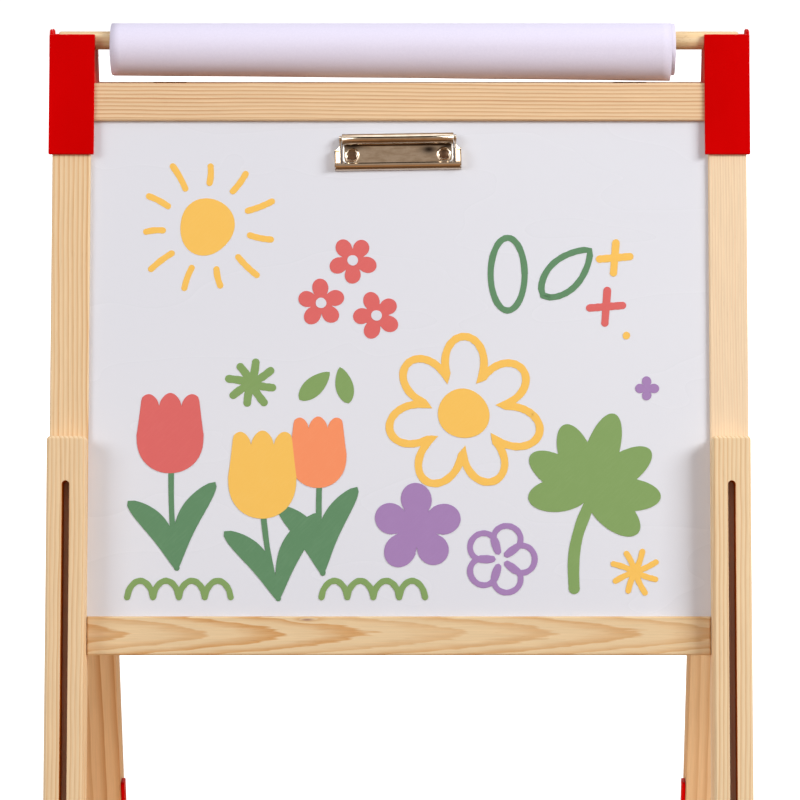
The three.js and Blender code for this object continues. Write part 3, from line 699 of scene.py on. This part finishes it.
for where, side in SIDES.items():
    x = side * HINGE_X
    for half, first in (("front", 0), ("rear", 1)):
        centre = x if half == "front" else -x
        start = centre - HINGE_HALF
        parts = [prism(rounded(start, start + 2 * HINGE_HALF, -22, -2.7, 1.5), 0.7, 1.7)]
        for k in range(first, 3, 2):
            low, high = start + k * KNUCKLE + 0.15, start + (k + 1) * KNUCKLE - 0.15
            parts.append(turned([(1.3, low), (2.2, low), (2.4, low + 0.2), (2.4, high - 0.2),
                                 (2.2, high), (1.3, high), (1.3, low)], (0, 0, 0), "x", 36))
            parts.append(prism([(low, -4.3), (high, -4.3), (high, 0), (low, 0)], 0.7, 1.7))
        piece(f"{where}_hinge_{half}", *together(*parts), HALF[half], half + "_frame",
              BRASS, "brass", [f"{where}_hinge_{half}_leaf"])
        inward = Matrix.Scale(-1, 4, (0, 1, 0))
        heads = [moved(screw_head(centre + dx, down, -0.7, 2.4), inward)
                 for dx, down in ((-8, -13), (8, -16))]
        piece(f"{where}_hinge_{half}_screws", *together(*heads), HALF[half], half + "_frame",
              STEEL, "steel")
    pin = turned([(0, -HINGE_HALF), (0.8, 0.05 - HINGE_HALF), (1.0, 0.3 - HINGE_HALF),
                  (1.0, HINGE_HALF - 0.3), (0.8, HINGE_HALF - 0.05), (0, HINGE_HALF)],
                 (x, 0, 0), "x", 24)
    piece(where + "_hinge_axle", *pin, HALF["front"], "front_frame", STEEL, "steel",
          [where + "_hinge_pin"])

# ------------ dowel, paper roll

UP = UPRIGHT @ MM
ROD_LEFT, ROD_RIGHT = -272.3, 270.7
rod_end = [(0, 0), (5.6, 0), (6.5, 0.3), (7.0, 0.9), (ROD_RADIUS, 1.8)]
dowel = turned([(r, ROD_LEFT + a) for r, a in rod_end]
               + [(r, ROD_RIGHT - a) for r, a in rod_end[::-1]], (0, 0, ROD_HEIGHT), "x", 64)
piece("wooden_dowel", *dowel, UP, "roll_rod", BEECH, "beech", ["roll_rod"])

CORE_BORE, CORE_OUT = 14.7, 16.7
WOUND_IN, WOUND_OUT, WRAP = 17.0, 20.6, 20.9
ROLL_Z = ROD_HEIGHT - (CORE_BORE - ROD_RADIUS - GAP)
ROLL_MIDDLE, ROLL_HALF = -5.2, 225
ROLL_LEFT, ROLL_RIGHT = ROLL_MIDDLE - ROLL_HALF, ROLL_MIDDLE + ROLL_HALF
core = turned([(CORE_BORE, ROLL_LEFT), (CORE_OUT, ROLL_LEFT), (CORE_OUT, ROLL_RIGHT),
               (CORE_BORE, ROLL_RIGHT), (CORE_BORE, ROLL_LEFT)], (0, 0, ROLL_Z), "x", 72)
piece("cardboard_core", *core, UP, "paper_roll", CARDBOARD, "cardboard", ["paper_core"])


def wound_end(at, way):
    """One end of the wound paper: its layers step in and out a little, as (radius, x)."""
    profile, steps = [], 14
    for k in range(steps + 1):
        radius = WOUND_IN + (WOUND_OUT - 0.05 - WOUND_IN) * k / steps
        step = 0.35 * math.sin(k * 2.3) + 0.25 * math.sin(k * 5.1 + 1)
        profile.append((radius, at - way * (0.7 + step)))
    return profile


left = wound_end(ROLL_LEFT, -1)
right = wound_end(ROLL_RIGHT, 1)
outside = [(WOUND_OUT, ROLL_LEFT + 1.8), (WOUND_OUT, ROLL_RIGHT - 1.8)]
wound = turned(left + outside + right[::-1] + [left[0]], (0, 0, ROLL_Z), "x", 96)
piece("wound_paper", *wound, UP, "paper_roll", PAPER, "paper", ["paper_roll"])


def loose_wrap():
    """The outermost sheet: it has sprung a little open and hangs lower towards the right."""
    columns, turns = 60, 88
    points, faces = [], []
    for i in range(columns + 1):
        t = i / columns
        droop = 0.05 + 4.1 * t ** 1.2
        for j in range(turns + 1):
            u = j / turns
            angle = math.radians(70 + 348 * u)
            below = max(0.0, -math.sin(angle)) ** 1.4
            radius = WRAP + droop * below
            radius += 0.06 * math.sin(t * 23 + u * 9) * below
            start = ROLL_LEFT + 0.4 + 14 * max(0.0, u - 0.35) ** 1.6
            end = ROLL_RIGHT - 3.2 - 3.0 * max(0.0, u - 0.3) ** 1.3
            x = start + (end - start) * t
            points.append((x, radius * math.cos(angle), ROLL_Z + radius * math.sin(angle)))
    for i in range(columns):
        for j in range(turns):
            a = i * (turns + 1) + j
            faces.append((a, a + 1, a + turns + 2, a + turns + 1))
    return points, faces


wrap = piece("loose_outer_sheet", *loose_wrap(), UP, "paper_roll", PAPER, "paper")
sheet_thickness = wrap.modifiers.new("sheet", "SOLIDIFY")
sheet_thickness.thickness = 0.00015
sheet_thickness.offset = -1

# ------------ paper clip

CLIP_X, CLIP_Z, CLIP_TILT = -1.1, level(57.7), math.radians(-0.9)
CLIP = HALF["front"] @ Matrix.Translation((CLIP_X, -BOARD_FACE - GAP, CLIP_Z)) @ \
    Matrix.Rotation(CLIP_TILT, 4, "Y")
CLIP_RIVET = 36.6
PAN_X, PAN_LOW, BARREL_Z, BARREL_OUT, BARREL_R = 44.3, -7.8, 12.3, 4.9, 4.4
JAW_X, LIP_LOW = 50.3, -12.2


def clip_pan():
    """The riveted plate: it curls over into the barrel, and its edge is turned up as a rim."""
    plate = prism(rounded(-PAN_X, PAN_X, PAN_LOW, BARREL_Z - 1, 3.4), 0.1, 0.9)
    corner, path = 4.0, [(-PAN_X + 0.9, 2.6, BARREL_Z - 1)]
    for cx, start in ((-PAN_X + 0.9 + corner, 180), (PAN_X - 0.9 - corner, 270)):
        for k in range(9):
            a = math.radians(start + 90 * k / 8)
            path.append((cx + corner * math.cos(a), 2.1,
                         PAN_LOW + 0.9 + corner + corner * math.sin(a)))
    path.append((PAN_X - 0.9, 2.6, BARREL_Z - 1))
    rim = swept(path, 0.75, 1.2, 14)
    barrel = turned([(3.5, -PAN_X), (BARREL_R - 0.25, -PAN_X), (BARREL_R, -PAN_X + 0.3),
                     (BARREL_R, PAN_X - 0.3), (BARREL_R - 0.25, PAN_X), (3.5, PAN_X),
                     (3.5, -PAN_X)], (0, -BARREL_OUT, BARREL_Z), "x", 64)
    return together(plate, barrel), rim


def clip_lever():
    """The sprung jaw: end flanges on the axle, and the curled lip that grips the paper."""
    parts = []
    for side in (-1, 1):
        outline = rounded(-BARREL_OUT - 2.6, -0.5, LIP_LOW + 1.6, 4.6, 2.2)
        low, high = sorted((side * (JAW_X - 1.0), side * JAW_X))
        parts.append(prism(outline, low, high, "yz"))
        shoulder = [(side * x, z) for x, z in ((45.9, LIP_LOW + 1.8), (JAW_X - 0.6, LIP_LOW + 1.8),
                                               (JAW_X - 0.6, 3.2), (49.4, 4.4), (47.4, 5.8),
                                               (46.4, 7.4), (45.9, 7.6))]
        points, faces = prism(shoulder, 0.7, 1.3)
        parts.append(([(px, py - (JAW_X - abs(px)) * 0.5, pz) for px, py, pz in points], faces))
        low, high = sorted((side * 44.7, side * 46.6))
        parts.append(turned([(0, low), (2.7, low), (3.0, (low + high) / 2), (2.7, high),
                             (0, high)], (0, -BARREL_OUT, BARREL_Z), "x", 40))
        parts.append(prism([(-BARREL_OUT - 2.4, BARREL_Z), (-BARREL_OUT - 2.4, 4), (-1.4, 4),
                            (-1.8, BARREL_Z)], low + 0.3, high - 0.4, "yz"))
    bends = [math.radians(-8 + 106 * k / 14) for k in range(15)]
    lip = [(-0.5 - 4.0 * math.sin(a), LIP_LOW + 4.6 * (1 - math.cos(a))) for a in bends]
    inner = [(y + 0.75 * (1 if y < -1.2 else 0.2), z + 0.75) for y, z in lip]
    parts.append(prism(lip + inner[::-1], -JAW_X + 0.2, JAW_X - 0.2, "yz"))
    return together(*parts)


def nickel_with_painted_shade(name):
    """Nickel with painted shade: a dark band just under the barrel for its shadow and dark
    reflection, and dark painted reflections round the rivets.
    """
    s = Shader(name, roughness=0.13, metallic=1.0)
    x, y, z = grain_coords(s, "front")
    z = s.minus(z, CLIP_Z / 1000)
    # Painted shadow and reflection: a dark band on the pan just under the barrel.
    dark = s.span(z, 0.0066, 0.0078, 0.0, 0.85)
    # Painted reflections: dark patches by the rivets.
    for px, pz, wide, high in ((0.0235, 0.0045, 0.006, 0.0034), (-0.0375, 0.0074, 0.01, 0.003),
                               (0.038, 0.0074, 0.007, 0.002)):
        r2 = s.squares(s.offset(x, px, wide), s.offset(z, pz, high))
        dark = s.math("MAXIMUM", dark, s.math("EXPONENT", s.times(r2, -1.0)))
    dark = s.times(dark, s.math("GREATER_THAN", y, -(BOARD_FACE + GAP + 2) / 1000))
    blotch = s.noise(s.scaled((x, 0.0, z), (90, 0, 260)), detail=3)
    colour = s.ramp(blotch, [(0.35, linear(190, 172, 150)), (0.6, linear(208, 193, 174))])
    # The painted shade and reflections darken the pan towards a near-black brown.
    colour = s.mix(s.times(dark, 0.95, clamp=True), colour, linear(36, 26, 20))
    return s.set(Base_Color=colour, Normal=s.bump(blotch, 0.00003, 0.4))


plate, rim = clip_pan()
piece("clip_pan", *plate, CLIP, "front_frame", nickel_with_painted_shade("nickel_painted_shade"), "nickel",
      ["clip_base"], sharp=40)
# Painted highlight: a whiter, rougher copy of the nickel for the pan's turned-up rim, so that the
# rim reads as a bright line all round.
RIM_PAINTED_HIGHLIGHT = metal("nickel_painted_rim_highlight", linear(246, 244, 242), 0.42)
piece("clip_rim", *rim, CLIP, "front_frame", RIM_PAINTED_HIGHLIGHT, "nickel", sharp=40)
lever = piece("clip_lever", *clip_lever(), CLIP, "clip_jaw", NICKEL, "nickel", ["clip_jaw"],
              sharp=40)
soften(lever, 0.25, 2, 50)
axle = turned([(0, -46.8), (0.9, -46.7), (1.4, -46.4), (1.5, -45.9), (1.5, 45.9), (1.4, 46.4),
               (0.9, 46.7), (0, 46.8)], (0, -BARREL_OUT, BARREL_Z), "x", 28)
piece("clip_pin", *axle, CLIP, "front_frame", STEEL, "steel", ["clip_axle"])


def clip_coil():
    """The torsion spring inside the barrel."""
    path, turns, steps = [], 7, 22
    for k in range(turns * steps + 1):
        a = 2 * math.pi * k / steps
        path.append(Vector((-9 + 18 * k / (turns * steps), -BARREL_OUT + 2.4 * math.cos(a),
                            BARREL_Z + 2.4 * math.sin(a))))
    points, sides = [], 8
    for i, here in enumerate(path):
        way = (path[min(i + 1, len(path) - 1)] - path[max(i - 1, 0)]).normalized()
        out = Vector((0, here.y + BARREL_OUT, here.z - BARREL_Z)).normalized()
        other = way.cross(out).normalized()
        for k in range(sides):
            b = 2 * math.pi * k / sides
            p = here + (out * math.cos(b) + other * math.sin(b)) * 0.4
            points.append(tuple(p))
    return points, ring_faces(len(path), sides)


piece("clip_torsion_spring", *clip_coil(), CLIP, "front_frame", STEEL, "steel", ["clip_spring"])

for name, side in SIDES.items():
    profile = [(0, -5.1), (3.4, -5.1), (3.9, -4.8), (4, -4.2), (2, -4.1), (2, 1.1), (5.7, 1.1),
               (6.0, 1.7), (5.85, 2.5), (5.4, 3.0), (4.8, 3.2), (4.3, 2.9), (4.0, 2.3),
               (3.8, 1.6), (3.6, 1.5), (0, 1.5)]
    rivet = turned(profile, (side * CLIP_RIVET, 0, 0), "out", 48)
    piece(f"clip_eyelet_{name}", *rivet, CLIP, "front_frame", NICKEL, "nickel",
          [f"clip_rivet_{name}"])
    # The disc in the eyelet's hollow takes the dark nickel of painted shade.
    shank = turned([(0, 1.4), (3.6, 1.4), (3.5, 1.75), (2.4, 2.05), (1.2, 2.15), (0, 2.2)],
                   (side * CLIP_RIVET, 0, 0), "out", 40)
    piece(f"clip_shank_{name}", *shank, CLIP, "front_frame", EYELET_PAINTED_SHADE, "nickel")

# ------------ drawings on the board

INKS = {
    "yellow": ((252, 197, 92), (253, 204, 108)),
    "red": ((224, 104, 100), (230, 116, 112)),
    "orange": ((252, 148, 99), (253, 158, 112)),
    "green": ((97, 140, 100), (116, 156, 118)),
    "leaf_green": ((133, 163, 96), (143, 172, 108)),
    "purple": ((168, 130, 182), (176, 140, 190)),
    "white": ((226, 224, 230), (230, 228, 234)),
}
INK = {name: marker("ink_" + name, *pair) for name, pair in INKS.items()}
drawn, layers = {}, []


def lay(ink, outline, height=0.0):
    """A filled shape on the board, from (x, down) points."""
    layers.append(ink)
    y = -(BOARD_FACE + 0.18 + height + 0.004 * len(layers))
    drawn.setdefault(ink, []).append(([(x, y, level(s)) for x, s in outline],
                                      [list(range(len(outline)))]))


def stroke(ink, path, width, height=0.0):
    """A marker line with round ends along (x, down) points, a little thicker along its middle."""
    layers.append(ink)
    base = BOARD_FACE + 0.12 + height + 0.004 * len(layers)
    section = ((-1, 0), (-0.7, 0.04), (0, 0.06), (0.7, 0.04), (1, 0))
    points, faces, n = [], [], len(path)
    for i, (x, s) in enumerate(path):
        (xa, sa), (xb, sb) = path[max(i - 1, 0)], path[min(i + 1, n - 1)]
        length = math.hypot(xb - xa, sb - sa) or 1
        half = width / 2 * (1 + 0.05 * math.sin(i * 0.4 + x))
        dx, ds = (sb - sa) / length * half, -(xb - xa) / length * half
        points += [(x + dx * a, -base - up, level(s + ds * a)) for a, up in section]
    faces += [(5 * i + k, 5 * i + k + 1, 5 * i + k + 6, 5 * i + k + 5)
              for i in range(n - 1) for k in range(4)]
    for x, s in (path[0], path[-1]):
        start = len(points)
        points.append((x, -base - 0.06, level(s)))
        points += [(x + width / 2 * math.cos(math.radians(a)), -base,
                    level(s + width / 2 * math.sin(math.radians(a)))) for a in range(0, 360, 24)]
        faces += [(start, start + 1 + k, start + 1 + (k + 1) % 15) for k in range(15)]
    drawn.setdefault(ink, []).append((points, faces))


def disc(x, s, radius, wobble=0.03, squash=1.0, steps=48):
    outline = []
    for k in range(steps):
        a = 2 * math.pi * k / steps
        r = radius * (1 + wobble * math.sin(2 * a + x) + wobble * 0.6 * math.sin(3 * a + s))
        outline.append((x + r * math.cos(a), s + squash * r * math.sin(a)))
    return outline


def petals(x, s, radius, count, inner, turn=0.0, power=0.7, steps=120):
    outline = []
    for k in range(steps):
        a = 2 * math.pi * k / steps
        lobe = abs(math.cos(count / 2 * (a - turn))) ** power
        r = radius * (inner + (1 - inner) * lobe) * (1 + 0.03 * math.sin(3 * a + x))
        outline.append((x + r * math.cos(a), s + r * math.sin(a)))
    return outline


def line(x0, s0, x1, s1, bow=0.0, steps=12):
    path = []
    for k in range(steps + 1):
        t = k / steps
        side = bow * math.sin(math.pi * t)
        length = math.hypot(x1 - x0, s1 - s0)
        path.append((x0 + (x1 - x0) * t - (s1 - s0) / length * side,
                     s0 + (s1 - s0) * t + (x1 - x0) / length * side))
    return path


def blade(x0, s0, x1, s1, width, bow=0.0, steps=18, belly=0.85, point=0.7):
    """The outline of a leaf between two points; belly moves its widest part towards the tip."""
    spine = line(x0, s0, x1, s1, bow, steps)
    length = math.hypot(x1 - x0, s1 - s0)
    nx, ns = -(s1 - s0) / length, (x1 - x0) / length
    sides = [[], []]
    for k, (x, s) in enumerate(spine):
        half = width / 2 * math.sin(math.pi * (k / steps) ** belly) ** point
        sides[0].append((x + nx * half, s + ns * half))
        sides[1].append((x - nx * half, s - ns * half))
    return sides[0] + sides[1][-2:0:-1]


def rays(ink, x, s, radii, count, width, turn=0.0):
    for k in range(count):
        a = 2 * math.pi * k / count + turn
        r0, r1 = radii[0], radii[1] * (1 + 0.08 * math.sin(k * 2.1))
        stroke(ink, line(x + r0 * math.cos(a), s + r0 * math.sin(a),
                         x + r1 * math.cos(a), s + r1 * math.sin(a), 0.6), width)


def tulip(x, s, width, tall, ink, foot, lean, spread):
    outline = []
    for k in range(25):
        a = math.pi * k / 24
        outline.append((x + width / 2 * math.cos(a), s + tall * 0.48 * math.sin(a) ** 0.8))
    for k in range(1, 60):
        u = k / 60
        rise = tall * (0.34 + 0.16 * abs(math.sin(3 * math.pi * u)) ** 0.6
                       + 0.03 * math.sin(math.pi * u))
        outline.append((x - width / 2 + width * u, s - rise * min(1, u * 14, (1 - u) * 14)))
    lay(ink, outline, 0.04)
    stroke("green", line(x + 1, s + tall * 0.45, x + lean, s + foot, 1.5), 4.4)
    base = (x + lean, s + foot + 2)
    for tip, bow in ((-1.3 * spread, 7), (spread, -8)):
        lay("green", blade(*base, x + lean + tip, s + foot - 60 + bow, 18, bow, 24, 1.35, 0.55),
            0.02)


RED_FLOWERS = ((-37, 142, 0.3), (-62, 176, 0.9), (-18, 186, 0.6))

lay("yellow", disc(-153, 115, 22.5, 0.05, 0.98))
rays("yellow", -153, 115, (35, 52), 11, 5.0, 0.2)
for x, s, turn in RED_FLOWERS:
    lay("red", petals(x, s, 19, 5, 0.36, turn, 0.55))
rays("leaf_green", -117, 240, (0.5, 17), 8, 6.2, 0.2)
lay("leaf_green", blade(-79, 253, -55, 231, 15))
lay("leaf_green", blade(-40, 256, -47, 227, 14))
upright = disc(86, 153, 13.5, 0.0, 2.15, 40)
stroke("green", upright + upright[:1], 5.0)
tilted = blade(114, 170, 151, 134, 25)
stroke("green", tilted + tilted[:2], 5.0)
for ink, x, s, arm in (("yellow", 171, 140, 12), ("red", 164, 179, 13)):
    stroke(ink, line(x - arm, s + 1, x + arm, s - 1), 6.0)
    stroke(ink, line(x + 1, s - arm, x - 1, s + arm), 6.0, 0.01)
lay("yellow", disc(180, 202, 3))
lay("purple", petals(196, 244, 9.5, 4, 0.4, 0.0, 0.7))
ring = petals(51, 264, 60, 7, 0.42, 0.25, 0.55, 280)
stroke("yellow", ring + ring[:2], 6.0)
lay("yellow", disc(51, 264, 20, 0.03))
tulip(-181, 281, 53, 63, "red", 105, 6, 30)
tulip(-64, 296, 45, 56, "orange", 94, 4, 27)
tulip(-108, 314, 54, 69, "yellow", 96, 13, 33)
lay("purple", petals(14, 354, 35, 5, 0.45, -math.pi / 2, 0.6))
loops = []
for k in range(241):
    a = 2 * math.pi * k / 240
    r, turn = 16.5 + 10.5 * math.cos(5 * a), a + 0.34 * math.sin(5 * a)
    loops.append((80 + r * math.cos(turn), 379 + r * math.sin(turn)))
stroke("purple", loops, 4.6)
LOBES = ((-112, 46), (-74, 52), (-36, 54), (2, 62), (40, 56), (78, 54), (114, 48))
LOBE_WIDTH = 25
lobes = []
for k in range(240):
    a = 2 * math.pi * k / 240
    r = 9
    for turn, long in LOBES:
        off = a - math.radians(turn + 16)
        if math.cos(off) > 0:
            r = max(r, long * math.cos(off) / (math.cos(off) ** 2
                                               + (long / LOBE_WIDTH * math.sin(off)) ** 2))
    lobes.append((150 + 1.05 * r * math.sin(a), 326 - 1.05 * r * math.cos(a)))
lay("leaf_green", lobes)
stroke("leaf_green", line(150, 336, 138, 402, 5), 9.0, 0.01)
rays("yellow", 186, 389, (1, 17), 8, 4.6, 0.35)
for start in (-214, -61):
    for arch in range(4):
        stroke("leaf_green", [(start + 20.4 * (arch + k / 16),
                               409 - 13 * math.sin(math.pi * k / 16) ** 0.55)
                              for k in range(17)], 4.8)

for ink, shapes in drawn.items():
    obj = piece("drawing_" + ink, *together(*shapes), HALF["front"], "front_frame", INK[ink])
    film = obj.modifiers.new("film", "SOLIDIFY")
    film.thickness = 0.00006
    film.offset = 0
    obj.data.shade_flat()

drawn = {}
for x, s, turn in RED_FLOWERS:
    lay("white", disc(x, s, 4.2, 0.02), 0.06)
piece("drawing_white", *together(*drawn["white"]), HALF["front"], "front_frame", INK["white"])


# ------------ stage, lights, camera


def floor():
    """A pale studio floor that fades into the backdrop, so that no horizon shows."""
    s = Shader("studio_floor", roughness=0.9, specular=0.0)
    x, y, z = s.split(s.place())
    far = s.math("SQRT", s.squares(x, y))
    tone = s.span(s.noise(s.vector(x, y, 0.0), 3.0, 3), 0.3, 0.7, 0.8, 0.84)
    s.set(Base_Color=s.vector(tone, tone, tone))
    s.bsdf.inputs["Emission Color"].default_value = (1, 1, 1, 1)
    s.put(s.bsdf.inputs["Emission Strength"], s.span(far, 0.3, 3.2, 0.3, 1.2))
    steps, rings, points = 72, 26, [(0, 0, 0)]
    for j in range(1, rings + 1):
        r = 40 * (j / rings) ** 2
        points += [(r * math.cos(2 * math.pi * k / steps), r * math.sin(2 * math.pi * k / steps),
                    0) for k in range(steps)]
    faces = [(0, 1 + k, 1 + (k + 1) % steps) for k in range(steps)]
    faces += [[v + 1 for v in face[::-1]] for face in ring_faces(rings, steps)]
    data = bpy.data.meshes.new("studio_floor")
    data.from_pydata(points, [], faces)
    data.materials.append(s.material)
    obj = bpy.data.objects.new("studio_floor", data)
    bpy.context.scene.collection.objects.link(obj)
    obj.visible_diffuse = False
    obj.visible_glossy = False
    obj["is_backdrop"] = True


def world():
    """White to the camera; for the light it gives, pale above and warm and dim below."""
    made = bpy.data.worlds.new("studio")
    bpy.context.scene.world = made
    made.use_nodes = True
    w = Tree(made.node_tree)
    x, y, z = w.split(w.node("TexCoord").outputs["Generated"])
    lift = w.span(z, -1, 1)
    ambient = w.ramp(lift, [(0.0, (0.44, 0.31, 0.22)), (0.38, (0.40, 0.27, 0.18)),
                            (0.47, (0.44, 0.38, 0.36)), (0.56, (0.50, 0.50, 0.53)),
                            (0.75, (0.52, 0.53, 0.58)), (1.0, (0.46, 0.47, 0.52))])
    mirrored = w.ramp(lift, [(0.0, (0.18, 0.10, 0.05)), (0.25, (0.17, 0.09, 0.045)),
                             (0.36, (0.66, 0.36, 0.17)), (0.46, (0.38, 0.22, 0.12)),
                             (0.58, (0.48, 0.38, 0.31)), (0.68, (0.56, 0.47, 0.40)),
                             (0.75, (0.06, 0.045, 0.035)), (0.89, (0.05, 0.04, 0.03)),
                             (0.93, (2.2, 2.2, 2.2)), (1.0, (1.5, 1.5, 1.5))])
    side_strips = w.span(w.math("ABSOLUTE", x), 0.62, 0.72)
    mirrored = w.mix(side_strips, mirrored, (2.0, 2.0, 2.0, 1))
    ray = w.node("LightPath").outputs
    given, glossy, shown = (w.node("Background", Color=colour, Strength=strength).outputs[0]
                            for colour, strength in ((ambient, 0.8), (mirrored, 1.0),
                                                     ((1, 1, 1, 1), 1.1)))
    given = w.choose(ray["Is Glossy Ray"], given, glossy)
    w.node("OutputWorld", Surface=w.choose(ray["Is Camera Ray"], given, shown))


def softbox(name, at, aim, width, height, power, colour):
    data = bpy.data.lights.new(name, "AREA")
    data.shape = "RECTANGLE"
    data.size, data.size_y = width, height
    data.energy, data.color = power, colour
    obj = bpy.data.objects.new(name, data)
    obj.location = at
    obj.rotation_euler = (Vector(aim) - Vector(at)).to_track_quat("-Z", "Y").to_euler()
    bpy.context.scene.collection.objects.link(obj)
    obj.visible_camera = False
    return obj


floor()
world()
softbox("key", (2.62, -1.95, 2.5), (0, 0, 0.65), 1.8, 1.3, 102, (0.94, 0.985, 1.0))
softbox("left", (-2.7, -2.2, 2.1), (0, 0, 0.65), 1.6, 1.6, 46, (0.94, 0.985, 1.0))
softbox("overhead", (0, -0.3, 3.2), (0, 0, 0.5), 2.2, 1.6, 3, (0.95, 0.97, 1.0))
softbox("back", (0.8, 3.2, 2.2), (0, 0, 0.5), 2.4, 1.8, 26, (1.0, 1.0, 1.0))
softbox("bounce", (0, -0.03, 0.03), (0, 0.22, 0.42), 0.5, 0.1, 0.8, (1.0, 0.70, 0.42))

camera_data = bpy.data.cameras.new("camera")
camera_data.lens = 142.1
camera_data.shift_x = -0.0555
camera = bpy.data.objects.new("camera", camera_data)
camera.location = (0.0358, -2.5426, 0.956)
camera.rotation_euler = (math.radians(90 - 7.5), 0, 0)
bpy.context.scene.collection.objects.link(camera)
bpy.context.scene.camera = camera
bpy.context.scene.view_settings.view_transform = "Standard"

bpy.context.view_layer.update()
low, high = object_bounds()
